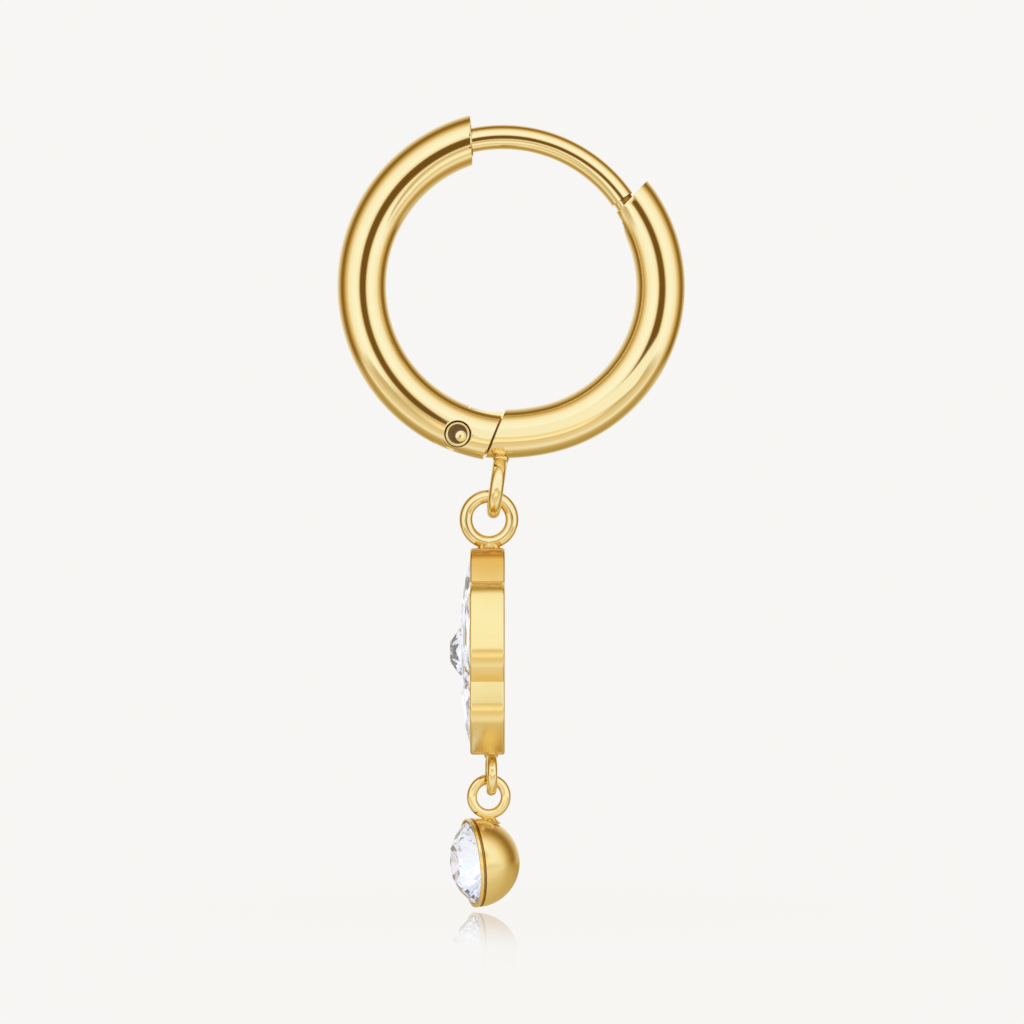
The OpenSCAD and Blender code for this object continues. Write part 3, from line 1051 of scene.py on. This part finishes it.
class EARRING_OT_drop_cup(bpy.types.Operator):
    """Model the drop's half ball with its band, groove and ring"""

    bl_idname = "earring.drop_cup"
    bl_label = "Drop Cup"
    bl_options = {"REGISTER", "UNDO"}

    def execute(self, context):
        s = sizes()
        r, groove, rim, seat_r, joint_z = mm(s.drop_r), mm(s.drop_groove), 0.215, 1.71, -27.80
        ball = [
            (r * math.sin(a), -r * math.cos(a))
            for a in (math.radians(88.6 * i / 48) for i in range(49))
        ]
        profile = ball + [
            (r - 0.006, -0.030), (r - 0.022, -0.022), (r - groove + 0.01, -0.014),
            (r - groove, 0.0), (r - groove, 0.052), (r - groove + 0.01, 0.066),
            (r - 0.022, 0.074), (r - 0.006, 0.080),
            (r, 0.090), (r, rim - 0.035), (r - 0.005, rim - 0.018), (r - 0.016, rim - 0.006),
            (r - 0.034, rim), (r - 0.090, rim), (r - 0.102, rim - 0.006), (r - 0.110, rim - 0.02),
            (seat_r, 0.165), (seat_r, 0.145), (0.12, -1.085), (0, -1.085),
        ]
        piece = turned("drop_cup", profile, 120)
        # Painted shade in the fine groove round the drop
        mark(piece, PAINTED_RECESS_SHADE, lambda c, n, f: (
            -0.03 < c.z < 0.085 and r - groove - 0.02 < math.hypot(c.x, c.y) < r - 0.012
        ))
        placed(piece, Matrix.Translation(side_point(DROP_CENTRE)) @ drop_turn())
        turn = (math.pi / 2, 0, DROP_YAW)
        hanger = ring("drop_ring", DROP_RING, SMALL_RING_R, mm(s.small_ring_wire), turn)
        shape_with(piece, hanger, "UNION")
        solder = turned(
            "solder", [(0, -0.22), (0.52, -0.22), (0.40, -0.12), (0.31, -0.04), (0.24, 0.03),
                       (0.12, 0.08), (0, 0.09)], 40,
        )
        shape_with(piece, placed(solder, Matrix.Translation((DROP_RING[0], 0, joint_z))), "UNION")
        clean(piece, FINE_CLEAN)
        mark(piece, WIRE, lambda c, n, f: c.z > joint_z + 0.02)
        finish_piece(piece, "drop_half_ball", "drop", "gold_setting", setting_gold(), "drop_cup")
        return {"FINISHED"}


# Stage


class EARRING_OT_stage(bpy.types.Operator):
    """Set up the pale floor, the soft studio light and the camera"""

    bl_idname = "earring.stage"
    bl_label = "Stage"
    bl_options = {"REGISTER", "UNDO"}

    def execute(self, context):
        self.lay_floor()
        self.hang_cards()
        self.light_studio(context.scene)
        self.aim_camera(context.scene)
        return {"FINISHED"}

    @staticmethod
    def lay_floor():
        """A pale floor that fades out far from the earring and gleams near the drop's foot."""
        put_down()
        bpy.ops.mesh.primitive_circle_add(
            vertices=128, radius=0.07, fill_type="NGON", location=(0.0004, 0, FLOOR_Z)
        )
        floor = named("pale_floor")
        material, t = new_material("pale_floor")
        place = t.add("ShaderNodeTexCoord").outputs["Object"]
        reach = t.add("ShaderNodeVectorMath", {0: place}, operation="LENGTH").outputs["Value"]
        foot = Vector((DROP_CENTRE[0] * MM, 0, FLOOR_Z))
        near_foot = t.fade(t.distance(place, foot), 0.001, 0.019, 0.72, 0.032)
        graze = t.add("ShaderNodeFresnel", {"IOR": 1.5}).outputs[0]
        paper = t.add("ShaderNodeEmission", {"Color": (*colours().backdrop, 1), "Strength": 1.0})
        sheen = t.add("ShaderNodeBsdfGlossy", {"Color": (1, 1, 1, 1), "Roughness": 0.02})
        face = t.mix_shaders(t.calculate("MULTIPLY", near_foot, graze), paper, sheen)
        clear = t.add("ShaderNodeBsdfTransparent")
        t.surface(t.mix_shaders(t.fade(reach, 0.040, 0.074, 1.0, 0.0), clear, face))
        floor.data.materials.append(material)
        floor.visible_glossy = False

    @staticmethod
    def hang_card(name, at, turn, wide, high, soft_x, soft_up, tones):
        """A glowing card that only polished metal sees, toned from its lower to its upper edge."""
        put_down()
        bpy.ops.mesh.primitive_plane_add(size=1)
        bpy.ops.transform.resize(value=(wide, high, 1))
        card = named(name)
        placed(card, Matrix.Translation(at) @ Matrix.Rotation(turn, 4, "X"))
        material, t = new_material(name)
        place = t.add("ShaderNodeTexCoord").outputs["Object"]
        parts = t.add("ShaderNodeSeparateXYZ", {0: place}).outputs
        along, middle = (parts["Z"], at[2]) if turn else (parts["Y"], at[1])
        share_up = t.add(
            "ShaderNodeMapRange",
            {"Value": along, "From Min": middle - high / 2, "From Max": middle + high / 2},
        )
        tone = t.ramp(share_up.outputs[0], tones)
        glow = t.add("ShaderNodeEmission", {"Color": tone, "Strength": 1.0})
        cover = []
        edges = ((parts["X"], at[0], wide, soft_x), (along, middle, high, soft_up))
        for socket, centre, span, soft in edges:
            off = t.calculate("ABSOLUTE", t.calculate("SUBTRACT", socket, centre))
            cover.append(t.fade(off, span / 2 - soft, span / 2, 1.0, 0.0))
        clear = t.add("ShaderNodeBsdfTransparent")
        t.surface(t.mix_shaders(t.calculate("MULTIPLY", *cover), clear, glow))
        card.data.materials.append(material)
        card.visible_camera = False
        card.visible_shadow = False
        card.visible_transmission = False

    @classmethod
    def hang_cards(cls):
        """A card for the gate's flank, one before flower and drop, and one under them all."""
        upright = math.pi / 2
        cls.hang_card(
            "gate_card", (0.0050, -0.0090, -0.0119), upright, 0.0150, 0.0066, 0.0012, 0.0008,
            ((0, (1.03, 1.08, 1.10)), (1, (1.03, 1.08, 1.10))),
        )
        cls.hang_card(
            "drop_card", (0.0010, -0.0250, -0.0268), upright, 0.0380, 0.0245, 0.0090, 0.0020,
            ((0, (1.14, 1.08, 0.88)), (0.46, (1.14, 1.06, 0.84)), (0.68, (0.98, 0.90, 0.68)),
             (0.82, (0.74, 0.64, 0.43)), (1, (0.66, 0.55, 0.35))),
        )
        cls.hang_card(
            "floor_card", (0.0, 0.0, -0.0317), 0, 0.14, 0.14, 0.03, 0.02,
            ((0, (0.66, 0.56, 0.40)), (0.26, (0.68, 0.57, 0.37)), (0.40, (0.84, 0.76, 0.56)),
             (0.455, (0.96, 0.95, 0.92)), (0.476, (0.90, 0.86, 0.76)), (0.486, (0.78, 0.70, 0.50)),
             (0.50, (0.64, 0.52, 0.29)), (0.55, (0.52, 0.38, 0.15)), (0.61, (0.47, 0.34, 0.13)),
             (0.72, (0.62, 0.52, 0.32)), (1, (0.84, 0.80, 0.70))),
        )

    @staticmethod
    def light_studio(scene):
        """White walls all round, with a dark gap at the lens and a darker ring at the sides."""
        world = bpy.data.worlds.new("studio")
        scene.world = world
        world.use_nodes = True
        t = Tree(world.node_tree)
        ray = t.add("ShaderNodeTexCoord").outputs["Generated"]
        lens = Vector((0.104, -0.991, -0.087)).normalized()
        facing = t.add("ShaderNodeVectorMath", {0: ray, 1: lens}, operation="DOT_PRODUCT")
        angle = t.calculate("ARCCOSINE", facing.outputs["Value"])
        turn = t.calculate("DIVIDE", angle, math.pi)
        on_metal = (
            (0, (0.17, 0.095, 0.02)), (13, (0.18, 0.10, 0.025)), (16.5, (0.55, 0.40, 0.18)),
            (21, (1.0, 1.0, 0.96)), (34, (1.06, 1.17, 1.30)), (50, (1.05, 1.14, 1.26)),
            (67, (1.03, 1.04, 1.02)), (80, (0.84, 0.70, 0.48)), (93, (0.52, 0.36, 0.12)),
            (103, (0.30, 0.17, 0.035)), (114, (0.27, 0.16, 0.035)), (130, (0.62, 0.48, 0.28)),
            (152, (0.88, 0.84, 0.76)), (180, (0.92, 0.91, 0.88)),
        )
        through_glass = (
            (0, (0.86, 0.88, 0.96)), (14, (0.92, 0.94, 1.0)), (22, (1.12, 1.12, 1.15)),
            (50, (1.12, 1.13, 1.18)), (66, (0.90, 0.97, 1.14)), (80, (1.16, 1.12, 1.16)),
            (92, (0.90, 0.94, 1.05)), (108, (0.70, 0.73, 0.82)), (124, (0.96, 1.0, 1.10)),
            (136, (1.15, 1.15, 1.20)), (180, (1.12, 1.14, 1.20)),
        )
        metal, glassy = (
            t.ramp(turn, [(degrees / 180, tone) for degrees, tone in tones])
            for tones in (on_metal, through_glass)
        )
        path = t.add("ShaderNodeLightPath").outputs
        seen = t.blend_tones(path["Is Transmission Ray"], metal, glassy)
        walls = t.add("ShaderNodeBackground", {"Color": seen, "Strength": 1.0})
        paper = t.add("ShaderNodeBackground", {"Color": (*colours().backdrop, 1), "Strength": 1.0})
        both = t.mix_shaders(path["Is Camera Ray"], walls, paper)
        t.add("ShaderNodeOutputWorld", {"Surface": both.outputs[0]})
        scene.view_settings.view_transform = "Standard"

    @staticmethod
    def aim_camera(scene):
        """Looks along +Y at the hanging earring, from where the photo was taken."""
        put_down()
        distance, wide, sensor = 0.200, 0.0418, 36
        bpy.ops.object.camera_add(
            location=(0.000376, -distance, -0.015306), rotation=(math.pi / 2, 0, 0)
        )
        camera = bpy.context.object
        camera.name = "camera"
        camera.data.sensor_width = sensor
        camera.data.lens = sensor * distance / wide
        camera.data.clip_start = 0.01
        camera.data.clip_end = 10
        scene.camera = camera


class EARRING_PT_panel(bpy.types.Panel):
    """Lists the pieces of the earring and their sizes and colours"""

    bl_idname = "EARRING_PT_panel"
    bl_label = "Hinged Hoop Earring"
    bl_space_type = "VIEW_3D"
    bl_region_type = "UI"
    bl_category = "Earring"

    def draw(self, context):
        layout = self.layout
        for kind in PIECES + (EARRING_OT_stage,):
            layout.operator(kind.bl_idname)
        for group in (sizes(), colours(), finish()):
            box = layout.box()
            for name in group.__annotations__:
                box.prop(group, name)


PIECES = (
    EARRING_OT_hoop_arm,
    EARRING_OT_ear_wire,
    EARRING_OT_hinge_pin,
    EARRING_OT_gate_arm,
    EARRING_OT_pendant_setting,
    EARRING_OT_petal_stones,
    EARRING_OT_round_stones,
    EARRING_OT_drop_cup,
)
GROUPS = (EarringSizes, EarringColours, EarringFinish)


def register():
    for kind in GROUPS + PIECES + (EARRING_OT_stage, EARRING_PT_panel):
        bpy.utils.register_class(kind)
    bpy.types.Scene.earring_sizes = PointerProperty(type=EarringSizes)
    bpy.types.Scene.earring_colours = PointerProperty(type=EarringColours)
    bpy.types.Scene.earring_finish = PointerProperty(type=EarringFinish)


def unregister():
    del bpy.types.Scene.earring_finish
    del bpy.types.Scene.earring_colours
    del bpy.types.Scene.earring_sizes
    for kind in reversed(GROUPS + PIECES + (EARRING_OT_stage, EARRING_PT_panel)):
        bpy.utils.unregister_class(kind)


def main():
    register()
    for kind in PIECES + (EARRING_OT_stage,):
        group, name = kind.bl_idname.split(".")
        getattr(getattr(bpy.ops, group), name)()


if __name__ == "__main__":
    main()
